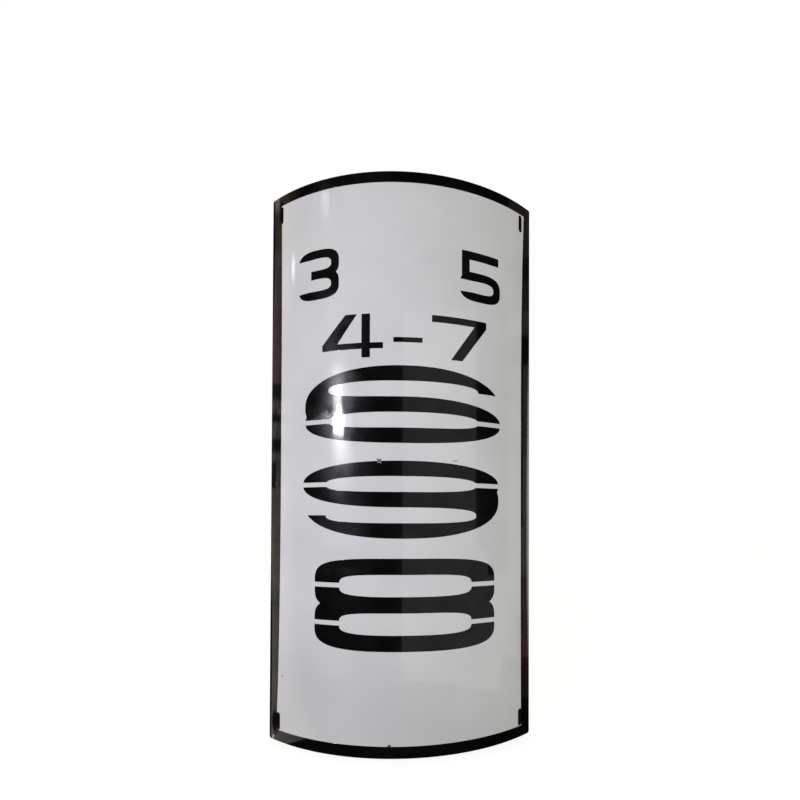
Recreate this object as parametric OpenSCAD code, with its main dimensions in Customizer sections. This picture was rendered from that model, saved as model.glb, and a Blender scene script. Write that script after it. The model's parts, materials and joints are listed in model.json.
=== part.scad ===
// Enamelled number plate for a round pole.
//
// One rolled steel sheet carries four fired coats of glass: a dark ground coat all
// round, a white coat on the face, and a black border and black numerals on top.
// The plate stands on its lower edge, its face towards -Y. Z = 0 is that edge, and the
// origin is the middle of the box round the plate. Numbers are in millimetres.
// Widths on the face are measured round the curve.

/* [Plate] */
// Height of the finished plate
plate_h = 400; // [385:1:480]
// Width of the finished plate, round the curve
plate_w = 210; // [195:1:260]
// Radius of the pole that the back lies on
pole_r = 150; // [120:1:260]
// Thickness of the bare steel sheet
sheet_t = 1.5; // [1:0.1:2.5]
// Radius of the plate's four corners
corner_r = 2; // [2:0.5:6]

/* [Enamel] */
// Thickness of the dark ground coat
ground_t = 0.2; // [0.15:0.05:0.3]
// Thickness of the white coat
white_t = 0.2; // [0.1:0.05:0.3]
// Thickness of the black border and numerals
black_t = 0.1; // [0.08:0.01:0.2]
// Slope that eases the ground coat's outer edges
rim_ease = 0.5; // [0.2:0.05:0.7]
// Bare ground coat left between the plate's edge and the white coat
rim_bare = 0.7; // [0.7:0.1:1.5]

/* [Border] */
// Width of the border on the plate's left side, halfway up
border_left = 11.5; // [6:0.5:14]
// Width of the left side's border at its top
border_left_top = 10.5; // [6:0.5:14]
// Width of the left side's border at its bottom
border_left_bottom = 8.5; // [6:0.5:14]
// Width of the border on the plate's right side, halfway up
border_right = 10.5; // [6:0.5:14]
// Width of the right side's border at its top
border_right_top = 7.5; // [6:0.5:14]
// Width of the right side's border at its bottom
border_right_bottom = 10; // [6:0.5:14]
// Width of the border along the top
border_top = 8; // [5:0.5:12]
// Width of the border along the bottom
border_bottom = 8.5; // [5:0.5:12]

/* [Strap slots] */
// Clear width of a slot
slot_w = 2; // [2:0.5:5]
// Clear height of a slot
slot_h = 11; // [10:0.5:20]
// From the plate's left edge to the middle of its slots
slot_left_in = 10.5; // [7:0.5:15]
// From the plate's right edge to the middle of its slots
slot_right_in = 11.5; // [7:0.5:15]
// From the plate's top or bottom edge to the middle of a slot
slot_end = 15; // [12:0.5:30]
// Bare ground coat left round a slot's mouth
slot_bare = 0.8; // [0.3:0.1:1.5]

/* [Large numerals] */
// Width of the first and second large numerals
large_w = 145; // [100:1:150]
// Height of the first and second large numerals
large_h = 53; // [46:1:56]
// Depth of their level strokes
large_level = 10.5; // [8:0.5:12]
// Width of the third large numeral
third_w = 131; // [100:1:150]
// Height of the third large numeral
third_h = 63; // [54:1:68]
// Depth of its level strokes
third_level = 11; // [8:0.5:14]
// Width of a large numeral's upright strokes
large_side = 19; // [12:1:26]
// Width of the bridges that the stencil leaves
bridge = 3.2; // [2:0.2:4]

/* [Small numerals] */
// Width of a numeral in the top row
top_w = 33; // [24:1:38]
// Height of a numeral in the top row
top_h = 35; // [28:1:40]
// Width of the left numeral in the second row
route_left_w = 44; // [30:1:46]
// Width of the right numeral in the second row
route_right_w = 41; // [30:1:46]
// Height of a numeral in the second row
route_h = 30; // [24:1:34]
// Width of a small numeral's strokes
small_stroke = 6; // [4:0.5:7]
// Length of the dash
dash_w = 20; // [12:1:22]
// Depth of the dash
dash_h = 3.4; // [2:0.2:6]

/* [Places of the numerals] */
// From the plate's top edge to the middle of the top row
top_row = 67; // [52:1:70]
// From the top row to the second row
route_drop = 46; // [42:1:50]
// From the second row to the first large numeral
first_drop = 47; // [46:1:50]
// From the first large numeral to the second
second_drop = 65; // [62:0.5:70]
// From the second large numeral to the third
third_drop = 71.5; // [68:0.5:80]
// From the middle of the top row to each of its numerals
top_out = 59; // [44:1:62]
// From the middle line left to the middle of the top row
top_left = 2; // [0:0.5:4]
// From the middle line left to the second row's left numeral
route_left_out = 35; // [34:1:46]
// From the middle line right to the dash
dash_out = 4; // [0:0.5:6]
// From the middle of the second row down to the dash
dash_drop = 3; // [0:0.5:5]
// From the middle line right to the second row's right numeral
route_right_out = 41; // [40:1:50]
// From the middle line right to the first large numeral
first_out = 1.5; // [0:0.5:5]
// From the middle line right to the third large numeral
third_out = 3.5; // [0:0.5:5]

/* [Hidden] */
$fn = 360;

// Radii of the fired layers, from the pole outwards
sheet_r = pole_r + ground_t;
ground_r = sheet_r + sheet_t + ground_t;
white_r = ground_r + white_t;
black_r = white_r + black_t;

// A length round the curve of the sheet's middle, as an angle at the pole's axis
middle_r = (pole_r + ground_r) / 2;
function turn(length) = length / middle_r * 180 / PI;
edge_turn = turn(plate_w / 2);
coat_turn = edge_turn - turn(rim_bare);

// The pole's axis lies behind the origin by this much, which centres the plate's depth
back_reach = min(pole_r * cos(edge_turn - turn(rim_ease)), (pole_r + rim_ease) * cos(edge_turn));
axis_y = (black_r + back_reach) / 2;

// Heights of the rows' middles
top_z = plate_h - top_row;
route_z = top_z - route_drop;
first_z = route_z - first_drop;
second_z = first_z - second_drop;
third_z = second_z - third_drop;

// Cutters reach this far past what they cut
over = 5;

// Layers of the plate

module about_pole_axis() {
    translate([0, axis_y, 0]) children();
}

// A curved slab between two radii, two turns about the axis and two heights
module curved_slab(radii, turns, heights) {
    rotate([0, 0, turns[0] - 90])
        rotate_extrude(angle = turns[1] - turns[0])
            translate([radii[0], heights[0]])
                square([radii[1] - radii[0], heights[1] - heights[0]]);
}

// Stands a shape on the curve: its X runs round the plate, its Y up and its Z outwards
module at_curve(angle, height) {
    rotate([0, 0, angle])
        translate([0, 0, height])
            rotate([90, 0, 0])
                children();
}

// What the rounded corners take off a slab whose edge lies inside the plate's by a margin
module corner_waste(margin) {
    size = corner_r + over;
    depth = black_r - pole_r + 2 * over;
    for (side = [-1, 1], end = [-1, 1])
        at_curve(side * (edge_turn - turn(corner_r)), plate_h / 2 + end * (plate_h / 2 - corner_r))
            difference() {
                translate([side > 0 ? 0 : -size, end > 0 ? 0 : -size, pole_r - over])
                    cube([size, size, depth]);
                translate([0, 0, pole_r - 2 * over])
                    cylinder(r = corner_r - margin, h = depth + 2 * over);
            }
}

// One cutter for each strap slot, larger than the clear slot by a margin all round
module slot_cutters(margin) {
    radius = slot_w / 2 + margin;
    rise = slot_h / 2 - slot_w / 2;
    depth = black_r - pole_r + 2 * over;
    for (angle = [turn(slot_left_in) - edge_turn, edge_turn - turn(slot_right_in)], end = [-1, 1])
        at_curve(angle, plate_h / 2 + end * (plate_h / 2 - slot_end))
            translate([0, 0, pole_r - over]) {
                for (up = [-1, 1])
                    translate([0, up * rise, 0])
                        cylinder(r = radius, h = depth);
                translate([-radius, -rise, 0])
                    cube([2 * radius, 2 * rise, depth]);
            }
}

// The rolled steel blank, punched and cornered
module sheet_body() {
    sheet_turn = edge_turn - turn(ground_t);
    difference() {
        curved_slab([sheet_r, sheet_r + sheet_t], [-sheet_turn, sheet_turn], [ground_t, plate_h - ground_t]);
        corner_waste(ground_t);
        slot_cutters(ground_t);
    }
}

// What eases the ground coat's two long edges, back and front
module side_waste() {
    size = rim_ease * sqrt(2);
    for (side = [-1, 1], radius = [pole_r, ground_r])
        rotate([0, 0, side * edge_turn])
            translate([0, -radius, -over])
                rotate([0, 0, 45])
                    translate([-size / 2, -size / 2, 0])
                        cube([size, size, plate_h + 2 * over]);
}

module steel_sheet() {
    color("lightsteelblue") about_pole_axis() sheet_body();
}

// Dark glass on the back, the edges, the slots' walls and the face of the sheet
module ground_coat() {
    color([0.06, 0.06, 0.08])
        about_pole_axis()
            difference() {
                rotate([0, 0, -90 - edge_turn])
                    rotate_extrude(angle = 2 * edge_turn)
                        polygon([[pole_r, rim_ease], [pole_r + rim_ease, 0],
                            [ground_r - rim_ease, 0], [ground_r, rim_ease],
                            [ground_r, plate_h - rim_ease], [ground_r - rim_ease, plate_h],
                            [pole_r + rim_ease, plate_h], [pole_r, plate_h - rim_ease]]);
                side_waste();
                corner_waste(0);
                slot_cutters(0);
                sheet_body();
            }
}

module white_coat() {
    color([0.8, 0.8, 0.81])
        about_pole_axis()
            difference() {
                curved_slab([ground_r, white_r], [-coat_turn, coat_turn], [rim_bare, plate_h - rim_bare]);
                corner_waste(rim_bare);
                slot_cutters(slot_bare);
            }
}

// The border's sides are laid by hand: their inner lines run almost straight and flare
// towards the corners. Rise is -1 at the border's bottom line and 1 at its top line.
side_flare = 3;
side_steps = 5;

function side_width(low, middle, high, rise) =
    middle + ((rise > 0 ? high : low) - middle) * pow(abs(rise), side_flare);

function side_line(side, low, middle, high) = [
    for (step = [-side_steps : side_steps])
        let (rise = step / side_steps)
            [side * white_r * sin(edge_turn - turn(side_width(low, middle, high, rise))),
                border_bottom + (plate_h - border_top - border_bottom) * (rise + 1) / 2]];

// The white field inside the border, as it lies seen from straight in front
module white_field() {
    left = side_line(-1, border_left_bottom, border_left, border_left_top);
    right = side_line(1, border_right_bottom, border_right, border_right_top);
    polygon(concat(right, [for (i = [len(left) - 1 : -1 : 0]) left[i]]));
}

module black_border() {
    color([0.03, 0.03, 0.03])
        about_pole_axis()
            difference() {
                curved_slab([white_r, black_r], [-coat_turn, coat_turn], [rim_bare, plate_h - rim_bare]);
                rotate([90, 0, 0])
                    linear_extrude(height = black_r + over)
                        white_field();
                corner_waste(rim_bare);
                slot_cutters(slot_bare);
            }
}

// Outlines of the numerals, flat, with the middle of each numeral at the origin

// Boxiness of an oval: 2 is an ellipse, and more is squarer
large_power = 2.3;
large_inside_power = 3;
third_power = 4;
small_power = 3;
oval_step = 5;

function signed_power(value, power) = sign(value) * pow(abs(value), power);

function oval(width, height, power, middle_z = 0) = [
    for (a = [0 : oval_step : 359])
        [width / 2 * signed_power(cos(a), 2 / power),
            middle_z + height / 2 * signed_power(sin(a), 2 / power)]];

function bar(left, right, low, high) = [[left, low], [right, low], [right, high], [left, high]];

// Points round the curve, shifted across the plate, as they lie seen from straight in front
function seen(points, across) = [
    for (p = points) [white_r * sin((p.x + across) / white_r * 180 / PI), p.y]];

// Fires a flat outline on to the face at a height
module fired(height) {
    about_pole_axis()
        intersection() {
            translate([0, 0, height])
                rotate([90, 0, 0])
                    linear_extrude(height = black_r + over)
                        children();
            difference() {
                cylinder(r = black_r, h = plate_h);
                translate([0, 0, -over])
                    cylinder(r = white_r, h = plate_h + 2 * over);
            }
        }
}

// Keeps what lies between two heights of a numeral
module band(low, high) {
    intersection() {
        children();
        polygon(bar(-plate_w, plate_w, low, high));
    }
}

// Two rings, one above the other, share their middle stroke
function ring_h(height, stroke) = (height + stroke) / 2;
function ring_z(height, stroke) = (height - stroke) / 4;

module ring_outsides(width, height, stroke, power, across) {
    for (end = [-1, 1])
        polygon(seen(oval(width, ring_h(height, stroke), power, end * ring_z(height, stroke)), across));
}

module ring_insides(width, height, stroke, side, power, across) {
    for (end = [-1, 1])
        polygon(seen(oval(width - 2 * side, ring_h(height, stroke) - 2 * stroke, power,
            end * ring_z(height, stroke)), across));
}

large_ring_z = ring_z(large_h, large_level);
third_ring_z = ring_z(third_h, third_level);

// A six where way is 1, and a nine, which is a six turned over, where it is -1
module six(way, across) {
    difference() {
        union() {
            difference() {
                polygon(seen(oval(large_w, large_h, large_power), across));
                polygon(seen(way * bar(0, large_w / 2 + over, -large_h / 2, large_ring_z), across));
            }
            polygon(seen(oval(large_w, ring_h(large_h, large_level), large_power,
                -way * large_ring_z), across));
        }
        ring_insides(large_w, large_h, large_level, large_side, large_inside_power, across);
    }
}

module eight(across) {
    difference() {
        ring_outsides(third_w, third_h, third_level, third_power, across);
        ring_insides(third_w, third_h, third_level, large_side, third_power, across);
    }
}

module three(across) {
    difference() {
        ring_outsides(top_w, top_h, small_stroke, small_power, across);
        ring_insides(top_w, top_h, small_stroke, small_stroke, small_power, across);
        polygon(seen(bar(-top_w / 2 - over, -top_w / 6,
            small_stroke - top_h / 2, top_h / 2 - small_stroke), across));
    }
}

module five(across) {
    left = -top_w / 2 + small_stroke / 4;
    right = top_w / 2 - small_stroke / 4;
    bowl_h = ring_h(top_h, small_stroke);
    bowl_z = -ring_z(top_h, small_stroke);
    polygon(seen(bar(left, right, top_h / 2 - small_stroke, top_h / 2), across));
    polygon(seen(bar(left, left + small_stroke, -small_stroke / 2, top_h / 2), across));
    polygon(seen(bar(left, 0, -small_stroke / 2, small_stroke / 2), across));
    difference() {
        polygon(seen(oval(top_w, bowl_h, small_power, bowl_z), across));
        polygon(seen(oval(top_w - 2 * small_stroke, bowl_h - 2 * small_stroke, small_power, bowl_z), across));
        polygon(seen(bar(-top_w / 2 - over, -top_w / 6,
            small_stroke - top_h / 2, -small_stroke / 2), across));
    }
}

// The stencil leaves the four open at its top
module four(across) {
    low = -route_h / 2 + small_stroke;
    high = low + small_stroke * 0.7;
    stem = route_left_w * 0.16;
    foot = small_stroke * 1.4;
    polygon(seen(bar(stem, stem + small_stroke, -route_h / 2, route_h / 2), across));
    polygon(seen(bar(-route_left_w / 2, route_left_w / 2, low, high), across));
    polygon(seen([[-route_left_w / 2, low], [-route_left_w / 2 + foot, low],
        [stem - bridge, route_h / 2], [stem - bridge - foot, route_h / 2],
        [-route_left_w / 2, high]], across));
}

module seven(across) {
    right = route_right_w / 2;
    neck = route_h / 2 - small_stroke * 0.8;
    foot = -route_right_w / 6;
    polygon(seen([[-right, route_h / 2], [right, route_h / 2], [right, neck],
        [foot + small_stroke * 1.4, -route_h / 2], [foot, -route_h / 2],
        [right - small_stroke * 1.6, neck], [-right, neck]], across));
}

module top_numeral_left() {
    color("black") fired(top_z) three(-top_left - top_out);
}

module top_numeral_right() {
    color("black") fired(top_z) five(top_out - top_left);
}

module route_numeral_left() {
    color("black") fired(route_z) four(-route_left_out);
}

module route_dash() {
    color("black")
        fired(route_z - dash_drop)
            polygon(seen(bar(-dash_w / 2, dash_w / 2, -dash_h / 2, dash_h / 2), dash_out));
}

module route_numeral_right() {
    color("black") fired(route_z) seven(route_right_out);
}

module first_numeral_upper() {
    color("black") fired(first_z) band(bridge / 2 - large_ring_z, large_h) six(1, first_out);
}

module first_numeral_lower() {
    color("black") fired(first_z) band(-large_h, -bridge / 2 - large_ring_z) six(1, first_out);
}

module second_numeral_upper() {
    color("black") fired(second_z) band(large_ring_z + bridge / 2, large_h) six(-1, 0);
}

module second_numeral_lower() {
    color("black") fired(second_z) band(-large_h, large_ring_z - bridge / 2) six(-1, 0);
}

module third_numeral_top() {
    color("black") fired(third_z) band(third_ring_z + bridge / 2, third_h) eight(third_out);
}

module third_numeral_middle() {
    color("black") fired(third_z) band(bridge / 2 - third_ring_z, third_ring_z - bridge / 2) eight(third_out);
}

module third_numeral_bottom() {
    color("black") fired(third_z) band(-third_h, -bridge / 2 - third_ring_z) eight(third_out);
}

steel_sheet();
ground_coat();
white_coat();
black_border();
top_numeral_left();
top_numeral_right();
route_numeral_left();
route_dash();
route_numeral_right();
first_numeral_upper();
first_numeral_lower();
second_numeral_upper();
second_numeral_lower();
third_numeral_top();
third_numeral_middle();
third_numeral_bottom();
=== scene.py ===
import json
import math

import bpy
import numpy as np
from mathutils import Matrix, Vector
from mathutils.geometry import delaunay_2d_cdt


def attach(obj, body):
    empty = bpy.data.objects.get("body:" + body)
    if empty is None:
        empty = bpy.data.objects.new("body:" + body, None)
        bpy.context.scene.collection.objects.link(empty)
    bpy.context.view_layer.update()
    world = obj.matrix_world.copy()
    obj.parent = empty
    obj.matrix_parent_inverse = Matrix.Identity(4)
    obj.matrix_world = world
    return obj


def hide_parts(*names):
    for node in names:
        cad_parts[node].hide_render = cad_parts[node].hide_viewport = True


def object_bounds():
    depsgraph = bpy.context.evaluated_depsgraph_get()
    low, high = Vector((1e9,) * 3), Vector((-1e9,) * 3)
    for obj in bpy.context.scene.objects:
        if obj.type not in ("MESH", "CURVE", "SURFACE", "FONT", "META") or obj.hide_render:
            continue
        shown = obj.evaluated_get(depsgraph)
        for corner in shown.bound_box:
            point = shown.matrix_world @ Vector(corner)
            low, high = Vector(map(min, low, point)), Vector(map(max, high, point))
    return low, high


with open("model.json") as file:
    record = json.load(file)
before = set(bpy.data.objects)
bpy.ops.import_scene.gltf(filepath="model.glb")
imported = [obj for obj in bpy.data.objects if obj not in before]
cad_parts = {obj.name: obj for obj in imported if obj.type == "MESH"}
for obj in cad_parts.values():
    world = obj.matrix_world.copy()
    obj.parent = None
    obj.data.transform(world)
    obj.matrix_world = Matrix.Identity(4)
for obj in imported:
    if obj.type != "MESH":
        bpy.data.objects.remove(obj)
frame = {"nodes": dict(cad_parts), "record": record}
cad_low, cad_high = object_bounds()


# Steel sheet
# The blank is cold rolled steel, sheared, punched with four strap slots and rolled to the
# pole's radius. The glass seals it on every side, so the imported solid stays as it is.

def set_inputs(node, inputs):
    """Gives a value or a link to each of a node's sockets, named or numbered."""
    for name, value in inputs.items():
        if isinstance(value, bpy.types.NodeSocket):
            node.id_data.links.new(value, node.inputs[name])
        else:
            node.inputs[name].default_value = value


def add_node(tree, kind, inputs=None, **settings):
    """Adds a shader node with its settings and its inputs."""
    node = tree.nodes.new(kind)
    for name, value in settings.items():
        setattr(node, name, value)
    set_inputs(node, inputs or {})
    return node


def calc(tree, operation, *numbers):
    """The result of one Math node."""
    return add_node(tree, "ShaderNodeMath", dict(enumerate(numbers)), operation=operation).outputs[0]


def blend_colours(tree, mask, first, second):
    """The colour that goes from first to second as the mask goes from 0 to 1."""
    sockets = {0: mask, 6: first, 7: second}
    return add_node(tree, "ShaderNodeMix", sockets, data_type="RGBA").outputs[2]


def ranged(tree, value, low, high, to_low=0.0, to_high=1.0):
    """A value between two limits, moved to lie between two others."""
    sockets = {0: value, 1: low, 2: high, 3: to_low, 4: to_high}
    return add_node(tree, "ShaderNodeMapRange", sockets).outputs[0]


def new_finish(name):
    """A material, its node tree and its Principled shader."""
    finish = bpy.data.materials.new(name)
    finish.use_nodes = True
    return finish, finish.node_tree, finish.node_tree.nodes["Principled BSDF"]


def bump(tree, height, distance=1.0):
    """The tilt that a height gives to a surface. The distance is the height's unit, in metres."""
    return add_node(tree, "ShaderNodeBump", {"Height": height, "Distance": distance}).outputs[0]


steel_light = (0.46, 0.46, 0.47, 1)
steel_dark = (0.30, 0.30, 0.31, 1)
steel_rough = (0.32, 0.5)
rolling_marks = (900, 900, 30)
rolling_depth = 2e-6

steel_finish, tree, shader = new_finish("cold_rolled_steel")
place = add_node(tree, "ShaderNodeTexCoord").outputs["Object"]
place = add_node(tree, "ShaderNodeMapping", {"Vector": place, "Scale": rolling_marks}).outputs[0]
marks = add_node(tree, "ShaderNodeTexNoise", {"Vector": place, "Scale": 1.0, "Detail": 3.0}).outputs[0]
set_inputs(shader, {
    "Base Color": blend_colours(tree, marks, steel_dark, steel_light),
    "Metallic": 1.0,
    "Roughness": ranged(tree, marks, 0.3, 0.7, *steel_rough),
    "Normal": bump(tree, marks, rolling_depth)})

frame["nodes"]["steel_sheet"].material_slots[0].material = steel_finish


# Ground coat
# The whole blank is dipped in a near-black ground enamel and fired. It wraps the back, the
# sheared edges and the slots' walls, and draws itself round at every sharp edge.

def radii(node):
    """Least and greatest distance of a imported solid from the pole's axis, in millimetres."""
    points = 1000 * np.array([vertex.co for vertex in frame["nodes"][node].data.vertices])
    reach = np.hypot(points[:, 0], axis_y - points[:, 1])
    return float(reach.min()), float(reach.max())


def bends(loop):
    """How sharply an outline turns at each point, in radians."""
    ahead = np.roll(loop, -1, 0) - loop
    behind = np.roll(ahead, 1, 0)
    return abs(np.arctan2(behind[:, 0] * ahead[:, 1] - behind[:, 1] * ahead[:, 0], (behind * ahead).sum(1)))


def thinned(loop, slack=0.02, shortest=0.4):
    """The outline without points that lie between their neighbours, or close beside a corner."""
    loop = np.roll(loop, -int(bends(loop).argmax()), 0)
    kept = [0]
    for end in range(2, len(loop) + 1):
        here, there = loop[kept[-1]], loop[end % len(loop)]
        run, between = there - here, loop[kept[-1] + 1:end] - here
        if abs(run[0] * between[:, 1] - run[1] * between[:, 0]).max() > slack * np.hypot(*run):
            kept.append(end - 1)
    loop = loop[kept]
    runs = np.hypot(*(np.roll(loop, -1, 0) - loop).T)
    while runs.min() < shortest:
        ends = [int(runs.argmin()), (int(runs.argmin()) + 1) % len(loop)]
        loop = np.delete(loop, min(ends, key=lambda end: bends(loop)[end]), 0)
        runs = np.hypot(*(np.roll(loop, -1, 0) - loop).T)
    return loop


def split_runs(loop, longest):
    """The outline with each long run in equal steps, so that it can bend round the pole."""
    made = []
    for here, there in zip(loop, np.roll(loop, -1, 0)):
        count = math.ceil(np.hypot(*(there - here)) / longest)
        made += [here + (there - here) * step / count for step in range(count)]
    return np.array(made)


def outlines(node, longest=2.5, facing_least=0.9, slack=0.01):
    """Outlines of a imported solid's outer face, in millimetres round the curve and up.

    An outer outline runs anticlockwise, and the outline of a hole clockwise.
    """
    mesh = frame["nodes"][node].data
    points = 1000 * np.array([vertex.co for vertex in mesh.vertices])
    reach = np.hypot(points[:, 0], axis_y - points[:, 1])
    names = [tuple(key) for key in np.round(points, 3)]
    places = dict(zip(names, points))
    edges = set()
    for face in mesh.polygons:
        way = points[face.vertices[0]] - (0, axis_y, 0)
        facing = (way[0] * face.normal.x + way[1] * face.normal.y) / reach.max()
        if facing > facing_least and min(reach[v] for v in face.vertices) > reach.max() - slack:
            corners = [names[v] for v in face.vertices]
            edges.update(zip(corners, corners[1:] + corners[:1]))
    following = {start: end for start, end in sorted(edges) if (end, start) not in edges}
    loops = []
    while following:
        at = next(iter(following))
        loop = []
        while at in following:
            loop.append(places[at])
            at = following.pop(at)
        loop = np.array(loop)
        turn = np.arctan2(loop[:, 0], axis_y - loop[:, 1])
        loops.append(split_runs(thinned(np.column_stack([turn * face_r, loop[:, 2]])), longest))
    return loops


def outward(loop, mitre_limit=0.3):
    """Which way is out of the coat at each point of an outline, mitred at its corners."""
    ahead = np.roll(loop, -1, 0) - loop
    ahead /= np.linalg.norm(ahead, axis=1)[:, None]
    behind = np.roll(ahead, 1, 0)
    total = ahead + behind
    square = np.column_stack([total[:, 1], -total[:, 0]])
    return square / np.maximum(1 + (ahead * behind).sum(1), mitre_limit)[:, None]


def filling(loops, step=(3.0, 8.0), clear=1.5):
    """Inner points and triangles that fill outlines, close enough to bend evenly."""
    edge = np.concatenate(loops)
    low, high = edge.min(0), edge.max(0)
    counts = [max(2, math.ceil((high[way] - low[way]) / step[way])) for way in (0, 1)]
    columns, rows = (np.linspace(low[way], high[way], counts[way]) for way in (0, 1))
    grid = np.array([(across, up) for across in columns for up in rows])
    gaps = np.hypot(grid[:, None, 0] - edge[None, :, 0], grid[:, None, 1] - edge[None, :, 1])
    inner = grid[gaps.min(1) > clear]
    ends = np.cumsum([len(loop) for loop in loops])
    rims = [list(rim) for rim in np.split(range(len(edge)), ends[:-1])]
    points = [Vector(point) for point in np.concatenate([edge, inner])]
    leave_holes, merge_under = 2, 1e-6
    _, _, faces, origins, _, _ = delaunay_2d_cdt(points, [], rims, leave_holes, merge_under)
    faces = np.array([[origins[corner][0] for corner in face] for face in faces])
    used = np.unique(faces[faces >= len(edge)])
    renumber = np.arange(len(points))
    renumber[used] = len(edge) + np.arange(len(used))
    return inner[used - len(edge)], renumber[faces]


def wrapped(flat, radius):
    """Points measured on the face, bent round the pole's axis at a radius."""
    turn = flat[:, 0] / face_r
    return np.column_stack([np.sin(turn) * radius, axis_y - np.cos(turn) * radius, flat[:, 1]])


def skin(rims, inside_out=False):
    """Points of a closed coat, and its faces in groups with a normal for each corner.

    Each rim is an outline and its profile. A profile runs from the pole's side to the face's,
    and gives how far each ring lies inside the outline, its radius, and its normal's tilt
    from the edge (0) to the face (90).
    """
    loops = [loop for loop, _ in rims]
    count = len(rims[0][1])
    rings, leans = [[] for _ in range(count)], [[] for _ in range(count)]
    for loop, profile in rims:
        out = outward(loop)
        way = out / np.linalg.norm(out, axis=1)[:, None]
        turn = loop[:, 0] / face_r
        level = np.column_stack([np.cos(turn) * way[:, 0], np.sin(turn) * way[:, 0], way[:, 1]])
        radial = np.column_stack([np.sin(turn), -np.cos(turn), 0 * turn])
        for ring, (inset, radius, tilt) in enumerate(profile):
            rings[ring].append(wrapped(loop - out * inset, radius))
            leans[ring].append(math.cos(math.radians(tilt)) * level + math.sin(math.radians(tilt)) * radial)
    rings, leans = [np.concatenate(ring) for ring in rings], [np.concatenate(lean) for lean in leans]
    inner, triangles = filling([loop - outward(loop) * profile[-1][0] for loop, profile in rims])
    back_r, face_radius = rims[0][1][0][1], rims[0][1][-1][1]
    points = np.concatenate([*rings, wrapped(inner, face_radius), wrapped(inner, back_r)])

    ends = np.cumsum([len(loop) for loop in loops])
    total = ends[-1]
    here = np.arange(total)
    there = np.concatenate([np.roll(part, -1) for part in np.split(here, ends[:-1])])
    groups = []
    for ring in range(count - 1):
        low, high = ring * total, (ring + 1) * total
        quads = np.column_stack([low + here, low + there, high + there, high + here])
        below, above = leans[ring], leans[ring + 1]
        groups.append((quads, np.stack([below[here], below[there], above[there], above[here]], 1)))
    last_ring = (count - 1) * total
    front = triangles + last_ring
    back = np.where(triangles < total, triangles, triangles + last_ring + len(inner))[:, ::-1]
    for side, faces in ((1, front), (-1, back)):
        ways = (points[faces] - (0, axis_y, 0)) * (side, side, 0)
        groups.append((faces, ways / np.linalg.norm(ways, axis=2)[:, :, None]))
    if inside_out:
        groups = [(faces[:, ::-1], -normals[:, ::-1]) for faces, normals in groups]
    return points, groups


def fired_piece(name, node, slot, finish, *skins):
    """A fired coat as one piece of closed skins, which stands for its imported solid."""
    points, faces, normals = [], [], []
    for skin_points, groups in skins:
        for corners, leans in groups:
            faces += (corners + len(points)).tolist()
            normals += leans.reshape(-1, 3).tolist()
        points += (skin_points / 1000).tolist()
    mesh = bpy.data.meshes.new(name)
    mesh.from_pydata(points, [], faces)
    mesh.shade_smooth()
    mesh.normals_split_custom_set(normals)
    mesh.materials.append(finish)
    piece = bpy.data.objects.new(name, mesh)
    bpy.context.scene.collection.objects.link(piece)
    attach(piece, "root")
    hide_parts(node)


def face_place(tree):
    """Where a point lies on the plate: millimetres round the curve, and up."""
    place = add_node(tree, "ShaderNodeTexCoord").outputs["Object"]
    x, y, z = add_node(tree, "ShaderNodeSeparateXYZ", {0: place}).outputs
    turn = calc(tree, "ARCTAN2", x, calc(tree, "SUBTRACT", axis_y / 1000, y))
    across = calc(tree, "MULTIPLY", turn, face_r)
    up = calc(tree, "MULTIPLY", z, 1000.0)
    return add_node(tree, "ShaderNodeCombineXYZ", {0: across, 1: up}).outputs[0]


def across_and_up(tree):
    """How far round the curve and how far up a point lies, in millimetres."""
    across, up, _ = add_node(tree, "ShaderNodeSeparateXYZ", {0: face_place(tree)}).outputs
    return across, up


def noise(tree, place, size, seed, detail=1.0):
    """Soft noise whose lumps are about as large as the size, in millimetres."""
    moved = add_node(tree, "ShaderNodeVectorMath", {0: place, 1: (0, 0, seed * size)}).outputs[0]
    sockets = {"Vector": moved, "Scale": 1.0 / size, "Detail": detail}
    return add_node(tree, "ShaderNodeTexNoise", sockets).outputs[0]


def new_group(name, inputs, outputs):
    """A shader node group with number inputs, and its tree, input node and output node."""
    group = bpy.data.node_groups.new(name, "ShaderNodeTree")
    for socket, value in inputs.items():
        made = group.interface.new_socket(socket, in_out="INPUT", socket_type="NodeSocketFloat")
        made.default_value = value
    for socket in outputs:
        group.interface.new_socket(socket, in_out="OUTPUT", socket_type="NodeSocketFloat")
    return group, group.nodes.new("NodeGroupInput"), group.nodes.new("NodeGroupOutput")


pole_seat = next(mount for mount in frame["record"]["mounts"] if mount["name"] == "pole_seat")
axis_y = 1000 * pole_seat["pos_m"][1] + pole_seat["dims"]["r_mm"]
face_r = radii("white_coat")[1]

# Molten glass settles in long shallow waves with a fine orange peel on them. Handling dulls
# it in wide patches.
wave_size = 24.0
peel_size = 1.8
dulled_size = 35.0

glaze_inputs = {"Wave": 2e-5, "Peel": 1e-6, "Gloss": 0.05, "Dulling": 0.05}
glaze_group, given, made = new_group("fired_glaze", glaze_inputs, ("Height", "Roughness"))
place = face_place(glaze_group)
wave = noise(glaze_group, place, wave_size, seed=1.0)
wave = calc(glaze_group, "MULTIPLY", wave, given.outputs["Wave"])
peel = noise(glaze_group, place, peel_size, seed=2.0, detail=2.0)
peel = calc(glaze_group, "MULTIPLY", peel, given.outputs["Peel"])
dulled = ranged(glaze_group, noise(glaze_group, place, dulled_size, seed=3.0, detail=4.0), 0.45, 0.7)
dulled = calc(glaze_group, "MULTIPLY", dulled, given.outputs["Dulling"])
set_inputs(made, {
    "Height": calc(glaze_group, "ADD", wave, peel),
    "Roughness": calc(glaze_group, "ADD", dulled, given.outputs["Gloss"])})

# Gas leaves pits and specks in the glass, here and there, each of its own size.
smallest_pit = 0.4
pit_fade = (1.0, 0.7)

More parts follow.
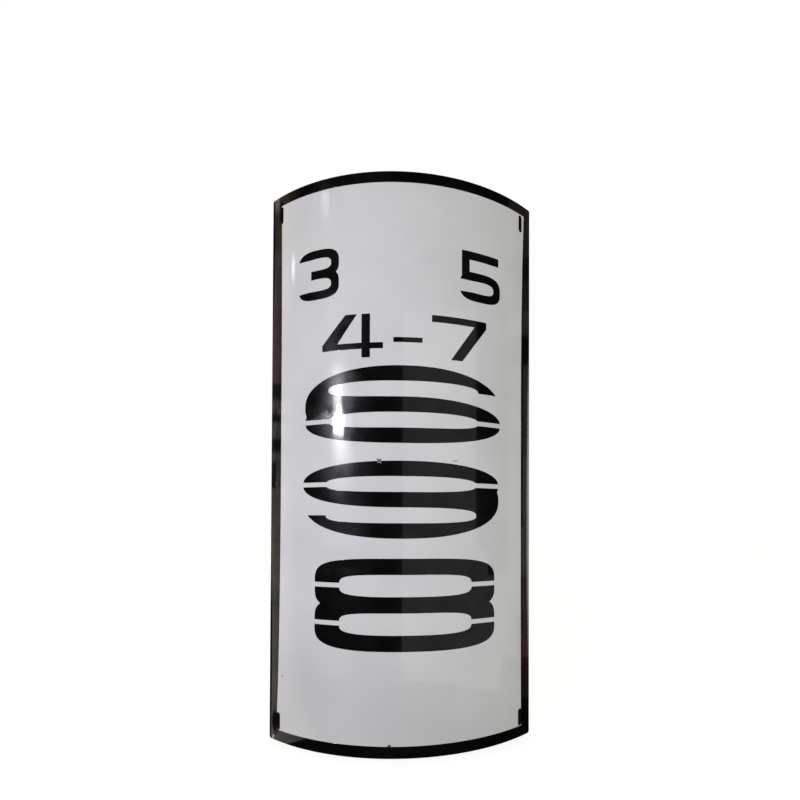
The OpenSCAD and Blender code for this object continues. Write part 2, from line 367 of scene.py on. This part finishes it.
pit_group, given, made = new_group("glaze_pits", {"Spacing": 6.0, "Size": 0.3, "Share": 0.3}, ("Mask",))
sockets = {0: face_place(pit_group), "Scale": calc(pit_group, "DIVIDE", 1.0, given.outputs["Spacing"])}
near = add_node(pit_group, "ShaderNodeVectorMath", sockets, operation="SCALE").outputs[0]
cells = add_node(pit_group, "ShaderNodeTexVoronoi", {"Vector": near, "Scale": 1.0})
chance, bigness, _ = add_node(pit_group, "ShaderNodeSeparateColor", {0: cells.outputs["Color"]}).outputs
bigness = ranged(pit_group, bigness, 0.0, 1.0, smallest_pit, 1.0)
reach = calc(pit_group, "MULTIPLY", given.outputs["Size"], bigness)
away = calc(pit_group, "MULTIPLY", cells.outputs["Distance"], given.outputs["Spacing"])
inside = ranged(pit_group, calc(pit_group, "DIVIDE", away, reach), *pit_fade)
chosen = calc(pit_group, "LESS_THAN", chance, given.outputs["Share"])
set_inputs(made, {"Mask": calc(pit_group, "MULTIPLY", inside, chosen)})

# Handling and weather leave a thin dull film, in patches and with a fine grain.
film_size = 16.0
grain_size = 0.9

film_group, given, made = new_group("handled_film", {"Least": 0.1, "Most": 0.6, "Grain": 0.5}, ("Mask",))
place = face_place(film_group)
patches = ranged(film_group, noise(film_group, place, film_size, seed=5.0, detail=4.0), 0.35, 0.65)
grain = ranged(film_group, noise(film_group, place, grain_size, seed=6.0, detail=2.0), 0.35, 0.65)
grain = calc(film_group, "SUBTRACT", grain, 0.5)
film = calc(film_group, "MULTIPLY_ADD", grain, given.outputs["Grain"], patches)
film = ranged(film_group, film, 0.0, 1.0, given.outputs["Least"], given.outputs["Most"])
set_inputs(made, {"Mask": film})

# One stray mark: a soft patch of a given width and height, ragged by a fine noise. A point's
# distance from its middle is 1 at the mark's edge.
ragged_size = 1.5
mark_fade = (1.1, 0.7)

mark_inputs = {"Across": 0.0, "Up": 0.0, "Width": 1.0, "Height": 1.0, "Lean": 0.0, "Ragged": 0.5}
mark_group, given, made = new_group("stray_mark", mark_inputs, ("Mask",))
x, y = across_and_up(mark_group)
x = calc(mark_group, "SUBTRACT", x, given.outputs["Across"])
y = calc(mark_group, "SUBTRACT", y, given.outputs["Up"])
x = calc(mark_group, "SUBTRACT", x, calc(mark_group, "MULTIPLY", y, given.outputs["Lean"]))
x = calc(mark_group, "DIVIDE", x, given.outputs["Width"])
y = calc(mark_group, "DIVIDE", y, given.outputs["Height"])
away = calc(mark_group, "MULTIPLY_ADD", x, x, calc(mark_group, "MULTIPLY", y, y))
away = calc(mark_group, "MULTIPLY", calc(mark_group, "SQRT", away), 2.0)
ragged = noise(mark_group, face_place(mark_group), ragged_size, seed=8.0, detail=3.0)
ragged = ranged(mark_group, ragged, 0.3, 0.7, -1.0, 1.0)
away = calc(mark_group, "MULTIPLY_ADD", ragged, given.outputs["Ragged"], away)
set_inputs(made, {"Mask": ranged(mark_group, away, *mark_fade)})


def place_group(tree, group, **values):
    """Places a group in a material, with its own values."""
    return add_node(tree, "ShaderNodeGroup", values, node_tree=group).outputs


def stray_marks(tree, marks, ragged=0.5):
    """The joint mask of several marks."""
    total = 0.0
    for mark in marks:
        values = dict(zip(("Across", "Up", "Width", "Height", "Lean"), mark))
        mask = place_group(tree, mark_group, Ragged=ragged, **values)["Mask"]
        total = calc(tree, "MAXIMUM", mask, total)
    return total


coat_low, coat_high = radii("ground_coat")
steel_low, steel_high = radii("steel_sheet")
ground_t = steel_low - coat_low
rim_round = 0.8
slot_round = 0.1
sheet_loops = outlines("steel_sheet")
sheet_rim = max(sheet_loops, key=len)
rim_across = float(sheet_rim[:, 0].max())

ground_black = (0.012, 0.0125, 0.016, 1)
ground_fleck = (0.05, 0.052, 0.062, 1)
ground_rust = (0.07, 0.032, 0.016, 1)
burnt_scale = (0.009, 0.006, 0.005, 1)
burnt_rim = 1.2
burnt_size = (6.5, 16.0)
glass_reflectance = 0.5
burnt_reflectance = 0.03
# A pale grey painted along the right rim as the reflection of light on its rounded edge.
rim_reflection_grey = (0.28, 0.27, 0.26, 1)

# Every mark in this file is across, up, width and height, in millimetres, and its lean.
# A tall strip along the right rim is a painted reflection of light on its rounded edge.
painted_rim_reflection = ((106.0, 170.0, 8.4, 245.0, 0.0),)
burnt_slots = []
for mount in frame["record"]["mounts"]:
    if mount["name"].startswith("strap_slot"):
        x, y, z = mount["pos_m"]
        across = math.atan2(x, axis_y / 1000 - y) * face_r
        burnt_slots.append((across, 1000 * z, *burnt_size, 0.0))

ground_finish, tree, shader = new_finish("ground_enamel")
glaze = place_group(tree, glaze_group, Wave=4e-5, Peel=4e-6, Gloss=0.14, Dulling=0.25)
flecks = place_group(tree, pit_group, Spacing=3.2, Size=0.7, Share=0.45)
rust = place_group(tree, pit_group, Spacing=17.0, Size=0.8, Share=0.12)
colour = blend_colours(tree, flecks["Mask"], ground_black, ground_fleck)
colour = blend_colours(tree, rust["Mask"], colour, ground_rust)
across, _ = across_and_up(tree)
across = calc(tree, "ABSOLUTE", across)
burnt = ranged(tree, across, rim_across - burnt_rim, rim_across - burnt_rim / 2)
burnt = calc(tree, "MAXIMUM", stray_marks(tree, burnt_slots, ragged=0.3), burnt)
colour = blend_colours(tree, burnt, colour, burnt_scale)
# Painted reflection along the right rim.
colour = blend_colours(tree, stray_marks(tree, painted_rim_reflection, ragged=0.1), colour, rim_reflection_grey)
set_inputs(shader, {
    "Base Color": colour,
    "Roughness": calc(tree, "MAXIMUM", glaze["Roughness"], burnt),
    "Specular IOR Level": ranged(tree, burnt, 0.0, 1.0, glass_reflectance, burnt_reflectance),
    "Normal": bump(tree, glaze["Height"])})

# A rounded edge has a ring of points at each of these turns, from its side to the face.
edge_turns = [math.radians(degrees) for degrees in (0, 30, 60, 90)]


def rounded_profile(round_r):
    """The ground coat's profile round a sheared edge, from the back to the face."""
    half = []
    for turn in edge_turns:
        inset = round_r * (1 - math.cos(turn)) - ground_t
        half.append((inset, round_r * (1 - math.sin(turn)), math.degrees(turn)))
    back = [(inset, coat_low + depth, -tilt) for inset, depth, tilt in reversed(half)]
    return back + [(inset, coat_high - depth, tilt) for inset, depth, tilt in half]


steel_profile = [(0, steel_low, 0), (0, steel_high, 0)]
coat_rims = [(loop, rounded_profile(rim_round if loop is sheet_rim else slot_round)) for loop in sheet_loops]
steel_rims = [(loop, steel_profile) for loop in sheet_loops]
fired_piece("fired_ground_coat", "ground_coat", "ground_enamel", ground_finish,
    skin(coat_rims), skin(steel_rims, inside_out=True))


# White coat
# White cover enamel is sprayed on the face and fired, then brushed clear of the plate's rim
# and of the slots' mouths. It is glossy, a little wavy, and has a few dark specks in it.

def eased_profile(base, top, ease):
    """A thin coat's profile: square to what it lies on, and rounded over at its face."""
    profile = []
    for turn in edge_turns:
        tilt = math.atan2(math.sin(turn) * ease, math.cos(turn) * (top - base))
        inset = ease * (1 - math.cos(turn))
        profile.append((inset, base + (top - base) * math.sin(turn), math.degrees(tilt)))
    return profile


def eased_skin(node, ease):
    """The skin of a thin coat whose whole face edge is rounded over."""
    profile = eased_profile(*radii(node), ease)
    return skin([(loop, profile) for loop in outlines(node)])


white_ease = 0.35
white_clean = (0.60, 0.597, 0.61, 1)
white_thick = (0.64, 0.64, 0.645, 1)
white_speck = (0.05, 0.045, 0.04, 1)
white_reflectance = 0.4
pool_size = 55.0
film_rough = 0.24
film_ior = 1.4
scuff_dark = (0.03, 0.03, 0.032, 1)
# This grey paints the dust marks, and also the painted shade low on the face.
dust_and_shade_grey = (0.33, 0.34, 0.33, 1)
# Painted shade: the face grows darker from the first height down to the second, and from the first distance
# across to the second, where less light falls.
painted_shade_most = 0.2
painted_shade_up = (110.0, 50.0)
painted_shade_across = (80.0, 20.0)
white_scuffs = (
    (-16.0, 201.9, 1.3, 2.4, -0.6),
    (-14.6, 201.9, 1.3, 2.4, 0.6),
    (-7.6, 9.1, 2.6, 1.6, 0.0),
    (-91.0, 48.0, 1.3, 1.3, 0.0),
    (-96.2, 9.6, 4.0, 3.6, 0.0))
white_dust = (
    (37.8, 202.3, 5.0, 1.1, 1.0),
    (-27.0, 152.0, 2.6, 1.0, 0.5),
    (-56.0, 180.0, 1.0, 9.0, 0.1),
    (61.0, 96.0, 0.9, 3.5, -0.3))

white_finish, tree, shader = new_finish("white_enamel")
glaze = place_group(tree, glaze_group, Wave=4e-5, Peel=2e-6, Gloss=0.05, Dulling=0.06)
specks = place_group(tree, pit_group, Spacing=14.0, Size=0.35, Share=0.3)
film = place_group(tree, film_group, Least=0.01, Most=0.08, Grain=0.4)
pools = ranged(tree, noise(tree, face_place(tree), pool_size, seed=5.0, detail=2.0), 0.35, 0.65)
colour = blend_colours(tree, pools, white_clean, white_thick)
colour = blend_colours(tree, specks["Mask"], colour, white_speck)
colour = blend_colours(tree, stray_marks(tree, white_dust), colour, dust_and_shade_grey)
# Painted shade low on the face, strongest at the bottom left.
across, up = across_and_up(tree)
painted_shade = ranged(tree, up, *painted_shade_up, 0.0, painted_shade_most)
painted_shade = calc(tree, "MULTIPLY", painted_shade, ranged(tree, across, *painted_shade_across))
colour = blend_colours(tree, painted_shade, colour, dust_and_shade_grey)
colour = blend_colours(tree, stray_marks(tree, white_scuffs, ragged=0.3), colour, scuff_dark)
set_inputs(shader, {
    "Base Color": colour,
    "Roughness": glaze["Roughness"],
    "Specular IOR Level": white_reflectance,
    "Coat Weight": film["Mask"],
    "Coat Roughness": film_rough,
    "Coat IOR": film_ior,
    "Normal": bump(tree, glaze["Height"])})

fired_piece("fired_white_coat", "white_coat", "white_enamel", white_finish,
    eased_skin("white_coat", white_ease))


# Black border
# Black enamel is brushed round the white field through a frame stencil and fired in its
# own pass, so its inner edge stands a tenth of a millimetre proud of the white.

black_ease = 0.25
edge_lap = 0.06
black_glass = (0.0022, 0.002, 0.002, 1)
black_thin = (0.005, 0.0045, 0.0045, 1)
black_reflectance = 0.15
thin_size = 40.0
# A pale grey for knocks, and for a painted highlight on the lower left corner.
knock_and_glint_grey = (0.42, 0.40, 0.38, 1)
black_rubs = (
    (-55.0, 232.0, 12.0, 8.0, 0.0),
    (-60.0, 231.5, 10.0, 5.0, 0.0))
# A rubbed place holds the film this many times over, and this much more.
rubbed_film = (3.0, 0.2)
black_chips = (
    (-98.0, 14.0, 9.5, 18.0, 0.0),
    (-95.5, 393.5, 3.5, 4.0, 0.5),
    (-104.6, 55.0, 4.2, 140.0, 0.0),
    (-105.0, 357.0, 5.2, 95.0, 0.0))
# The first mark is a painted highlight on the lower left corner's rounded edge. The other two are small
# knocks.
knocks_and_corner_glint = (
    (-100.6, 2.6, 2.0, 3.0, 0.0),
    (-16.0, 200.4, 0.8, 1.4, 0.8),
    (-14.6, 200.4, 0.8, 1.4, -0.8))

black_finish, tree, shader = new_finish("black_enamel")
glaze = place_group(tree, glaze_group, Wave=5e-5, Peel=2.5e-6, Gloss=0.05, Dulling=0.05)
film = place_group(tree, film_group, Least=0.015, Most=0.2, Grain=0.8)
thin = ranged(tree, noise(tree, face_place(tree), thin_size, seed=7.0, detail=3.0), 0.4, 0.7)
colour = blend_colours(tree, thin, black_glass, black_thin)
# Painted highlight on the lower left corner, and two knocks.
colour = blend_colours(tree, stray_marks(tree, knocks_and_corner_glint, ragged=0.3), colour, knock_and_glint_grey)
# Painted reflection along the right rim, on the black coat too.
colour = blend_colours(tree, stray_marks(tree, painted_rim_reflection, ragged=0.1), colour, rim_reflection_grey)
rubbed = stray_marks(tree, black_rubs, ragged=0.9)
rubbed = calc(tree, "MULTIPLY", rubbed, calc(tree, "MULTIPLY_ADD", film["Mask"], *rubbed_film))
clouded = calc(tree, "MAXIMUM", film["Mask"], rubbed)
chipped = stray_marks(tree, black_chips, ragged=0.12)
set_inputs(shader, {
    "Base Color": colour,
    "Roughness": glaze["Roughness"],
    "Specular IOR Level": ranged(tree, chipped, 0.0, 1.0, black_reflectance, 0.0),
    "Coat Weight": calc(tree, "SUBTRACT", clouded, chipped),
    "Coat Roughness": film_rough,
    "Coat IOR": film_ior,
    "Normal": bump(tree, glaze["Height"])})


def wrapping_skin(node, ease, lap):
    """A thin coat's skin that also laps over the edge of the coat below it."""
    base, top = radii(node)
    profile = [(inset - lap, radius, tilt) for inset, radius, tilt in eased_profile(base, top, ease)]
    return skin([(loop, [(-lap, coat_high, 0)] + profile) for loop in outlines(node)])


fired_piece("fired_black_border", "black_border", "black_enamel", black_finish,
    wrapping_skin("black_border", black_ease, edge_lap))


# Top row
# Two small numerals stand near the two sides. Each is one island of black enamel, brushed
# through a cut stencil and fired with the border.

def black_piece(node):
    """One island of the black coat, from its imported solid's outline."""
    fired_piece("fired_" + node, node, "black_enamel", black_finish, eased_skin(node, black_ease))


for numeral in ("top_numeral_left", "top_numeral_right"):
    black_piece(numeral)


# Second row
# A small numeral, a short dash and another small numeral, from the same stencil and the
# same firing.

for numeral in ("route_numeral_left", "route_dash", "route_numeral_right"):
    black_piece(numeral)


# First large numeral
# The stencil is held together by narrow bridges, which leave white gaps. They part this
# numeral into an upper and a lower island.

for numeral in ("first_numeral_upper", "first_numeral_lower"):
    black_piece(numeral)


# Second large numeral
# The same stencil turned over, so its closed ring is on top and its open hook below. It is
# fired with the rest of the black coat, in an upper and a lower island.

for numeral in ("second_numeral_upper", "second_numeral_lower"):
    black_piece(numeral)


# Third large numeral
# Two rings of black enamel share their middle stroke. The stencil's bridges part them into
# three islands.

for numeral in ("third_numeral_top", "third_numeral_middle", "third_numeral_bottom"):
    black_piece(numeral)


# Camera
# It stands close to the plate, a little to the right of its middle line, with a wide lens,
# and looks level. The shift frames the plate, which is taller than the eye's height.

camera_place = (0.00333, -0.3275, 0.1598)
camera_turn = (90.669, -0.197, -2.79)
camera_sensor = 36.0
camera_lens = 20.516
camera_shift = (-0.0356, 0.1461)
camera_near = 0.01

camera_data = bpy.data.cameras.new("camera")
camera_data.sensor_width = camera_sensor
camera_data.lens = camera_lens
camera_data.shift_x, camera_data.shift_y = camera_shift
camera_data.clip_start = camera_near
camera = bpy.data.objects.new("camera", camera_data)
camera.location = camera_place
camera.rotation_euler = [math.radians(degrees) for degrees in camera_turn]
bpy.context.scene.collection.objects.link(camera)
bpy.context.scene.camera = camera


# Floor and surroundings
# A plain white floor and a plain white surround. Both show white to the camera and in the
# gloss, and the floor keeps the plate's soft shadow.

def seen_or_mirrored(tree):
    """1 on rays that come straight from the camera, a glossy surface or through glass."""
    rays = add_node(tree, "ShaderNodeLightPath").outputs
    seen = calc(tree, "MAXIMUM", rays["Is Camera Ray"], rays["Is Glossy Ray"])
    return calc(tree, "MAXIMUM", seen, rays["Is Transmission Ray"])


white = (1, 1, 1, 1)
surround_light = 0.86
surround_tint = (1.0, 1.03, 0.865, 1)
floor_grey = (0.3, 0.3, 0.3, 1)
floor_rough = 0.9
floor_glow = 0.77
floor_size = 8.0

world = bpy.data.worlds.new("surround")
world.use_nodes = True
bpy.context.scene.world = world
tree = world.node_tree
seen = seen_or_mirrored(tree)
set_inputs(tree.nodes["Background"], {
    "Color": blend_colours(tree, seen, surround_tint, white),
    "Strength": ranged(tree, seen, 0.0, 1.0, surround_light, 1.0)})

floor_finish, tree, shader = new_finish("floor_paper")
set_inputs(shader, {
    "Base Color": floor_grey,
    "Roughness": floor_rough,
    "Specular IOR Level": 0.0,
    "Emission Color": white,
    "Emission Strength": calc(tree, "MULTIPLY", seen_or_mirrored(tree), floor_glow)})

half = floor_size / 2
floor_corners = [(-half, -half, 0), (half, -half, 0), (half, half, 0), (-half, half, 0)]
floor_mesh = bpy.data.meshes.new("floor")
floor_mesh.from_pydata(floor_corners, [], [(0, 1, 2, 3)])
floor_mesh.materials.append(floor_finish)
floor = bpy.data.objects.new("floor", floor_mesh)
bpy.context.scene.collection.objects.link(floor)


# Lights
# One soft lamp stands to the front left. Round the plate stand bright, tinted and black cards
# for the lamp, the lights and the room that the glass mirrors. Only reflections show them.

def way_to(azimuth, elevation):
    """The direction with an azimuth from straight in front to the right, and an elevation."""
    turn, rise = math.radians(azimuth), math.radians(elevation)
    return Vector((math.sin(turn) * math.cos(rise), -math.cos(turn) * math.cos(rise), math.sin(rise)))


lamp_aim = Vector((0.0, -0.018, 0.186))
lamp_azimuth = -24
lamp_elevation = 6
lamp_distance = 0.5
lamp_spread = math.radians(35)
lamp_brightness = 3.56
lamp_tint = (1.0, 0.93, 1.25)

lamp_data = bpy.data.lights.new("main_lamp", "AREA")
lamp_data.size = 2 * lamp_distance * math.tan(lamp_spread / 2)
lamp_data.energy = lamp_brightness * math.pi * lamp_data.size ** 2
lamp_data.color = lamp_tint
lamp = bpy.data.objects.new("main_lamp", lamp_data)
lamp.location = lamp_aim + lamp_distance * way_to(lamp_azimuth, lamp_elevation)
lamp.rotation_euler = (lamp_aim - lamp.location).to_track_quat("-Z", "Y").to_euler()
lamp.visible_camera = False
lamp.visible_glossy = False
bpy.context.scene.collection.objects.link(lamp)

card_lift = 0.0002
patch_edge = (0.42, 0.55)
black = (0.0, 0.0, 0.0, 1)


def card(name, colour, azimuths, elevations, distance=2.6, step=5.0,
        fades=False, soft=0.0, patchy=0.0, patch_scale=2.5):
    """A card bent round the plate, and along the floor below it, that only reflections show.

    It reaches from one azimuth and elevation to another, in degrees. It can fade out from its
    middle to its rim, grow dark over the last soft degrees towards the front, or be darkened
    in patches.
    """
    centre = Vector((0, 0, cad_high.z / 2))
    turns = np.linspace(*azimuths, math.ceil((azimuths[1] - azimuths[0]) / step) + 1)
    rises = np.linspace(*elevations, math.ceil((elevations[1] - elevations[0]) / step) + 1)
    points, strengths = [], []
    for turn in turns:
        for rise in rises:
            way = way_to(turn, rise)
            to_floor = (centre.z - card_lift) / max(-way.z, 1e-6)
            points.append(centre + min(distance, to_floor) * way)
            strength = 1.0
            if fades:
                side = 2 * (turn - azimuths[0]) / (azimuths[1] - azimuths[0]) - 1
                level = 2 * (rise - elevations[0]) / (elevations[1] - elevations[0]) - 1
                strength = (1 - side ** 2) * (1 - level ** 2) ** 2
            if soft:
                strength *= min(1.0, min(abs(turn - end) for end in azimuths if abs(end) < 90) / soft)
            strengths.append(strength)
    up = len(rises)
    firsts = [column * up + row for column in range(len(turns) - 1) for row in range(up - 1)]
    faces = [(first, first + 1, first + up + 1, first + up) for first in firsts]
    mesh = bpy.data.meshes.new(name)
    mesh.from_pydata(points, [], faces)
    mesh.attributes.new("strength", "FLOAT", "POINT").data.foreach_set("value", strengths)
    finish, tree, shader = new_finish(name)
    strength = add_node(tree, "ShaderNodeAttribute", attribute_name="strength").outputs["Fac"]
    if patchy:
        place = add_node(tree, "ShaderNodeTexCoord").outputs["Object"]
        sockets = {"Vector": place, "Scale": patch_scale, "Detail": 3.0}
        patches = add_node(tree, "ShaderNodeTexNoise", sockets).outputs[0]
        patches = ranged(tree, patches, *patch_edge, 1.0 - patchy, 1.0)
        strength = calc(tree, "MULTIPLY", strength, patches)
    set_inputs(shader, {
        "Base Color": black,
        "Specular IOR Level": 0.0,
        "Emission Color": colour,
        "Emission Strength": strength})
    mesh.materials.append(finish)
    made = bpy.data.objects.new(name, mesh)
    made.visible_camera = False
    made.visible_diffuse = False
    made.visible_transmission = False
    made.visible_shadow = False
    bpy.context.scene.collection.objects.link(made)


# These are ranges and settings that several cards share. Where cards overlap, the nearer
# one shows.
left_flank = (-112, -72)
right_flank = (75, 112)
soft_wall = {"step": 2.0, "soft": 12.0}
gap = {"distance": 2.55}
glow = {"distance": 2.45, "step": 1.0, "fades": True}
core = {"distance": 2.4, "step": 0.5}
tube = {"distance": 2.4, "step": 0.5, "fades": True}

card("left_card", black, (-72, 0), (-58, 90))
card("left_wall", (1.05, 0.74, 0.45, 1), left_flank, (31.5, 60), patchy=0.6, **soft_wall)
card("left_rail", (1.1, 0.98, 0.86, 1), left_flank, (26, 31.5), patchy=0.3, **soft_wall)
card("left_panel", (1.2, 0.75, 0.9, 1), left_flank, (16.8, 26), patchy=0.3, **soft_wall)
card("left_shelf", (1.7, 1.5, 1.6, 1), left_flank, (3.5, 15), patchy=0.7, patch_scale=14.0, **soft_wall)
for gap_heights in ((8.2, 9.9), (12.0, 13.0), (14.8, 16.8)):
    card("shelf_gap", black, left_flank, gap_heights, **gap)
card("shelf_hollow", black, (-97, -91), (3.4, 7.0), **gap)
card("left_step", (1.75, 1.6, 1.5, 1), left_flank, (-67.5, 3.5), patchy=0.3, **soft_wall)
card("upper_card", black, (0, 75), (27, 90))
card("upper_corner", black, right_flank, (55, 90))
card("right_top", (0.24, 0.16, 0.17, 1), right_flank, (26, 55))
card("right_wall", (0.5, 0.45, 0.42, 1), right_flank, (8, 26))
card("right_shelf", (0.85, 0.77, 0.73, 1), right_flank, (-10, 8))
card("right_step", (1.15, 0.93, 0.98, 1), (75, 86.4), (-34, -10))
card("right_gap", black, right_flank, (19.6, 23.3), **gap)
card("right_gap_top", black, right_flank, (29.4, 31.8), **gap)
card("right_post", black, (86.4, 88.2), (-4, 19.6), **gap)
card("right_post_foot", black, (86.4, 88.2), (-34, -10))
card("right_curtain", (0.75, 0.36, 0.5, 1), (88.2, 95), (-34, -10))
card("right_side", (0.4, 0.36, 0.37, 1), (95, 112), (-34, -10))
card("right_foot", (0.2, 0.11, 0.12, 1), right_flank, (-50, -34))
card("front_card", black, (0, 112), (-58, -50))
card("floor_card", black, (-72, 112), (-90, -58))
card("corner_floor", black, left_flank, (-90, -67.5))
card("right_card", black, (49.5, 75), (-5, 27))
card("right_corner", black, (59, 75), (-10, -5))
card("low_glow", (1.6, 1.56, 1.6, 1), (-58, -20), (-12, 2), **glow)
card("main_core", (95.0, 94.0, 97.0, 1), (-46.0, -38.6), (10.9, 13.7), **core)
card("core_neck", (24.0, 23.7, 24.5, 1), (-46.0, -40.0), (13.7, 15.6), **core)
card("core_top", (62.0, 61.0, 63.5, 1), (-46.0, -40.4), (15.6, 16.7), **core)
card("main_bulb", (2150.0, 2100.0, 2450.0, 1), (-43.0, -41.0), (12.0, 14.4), distance=2.35, step=0.5)
card("main_glow", (6.5, 6.35, 6.8, 1), (-48, -32), (2, 21), **glow)
card("side_tube", (9.5, 9.5, 9.5, 1), (-78.6, -75.2), (28.2, 32.4), **tube)
card("upper_tube", (4.2, 4.2, 4.2, 1), (-56.2, -48.8), (34.8, 43.2), **tube)
card("tube_shade", black, (-60, -45), (38.5, 45), distance=2.35)
card("corner_window", (2.8, 2.4, 2.0, 1), (-94.5, -88.5), (34.8, 38.4), **tube)


bpy.context.scene.view_settings.view_transform = "Standard"
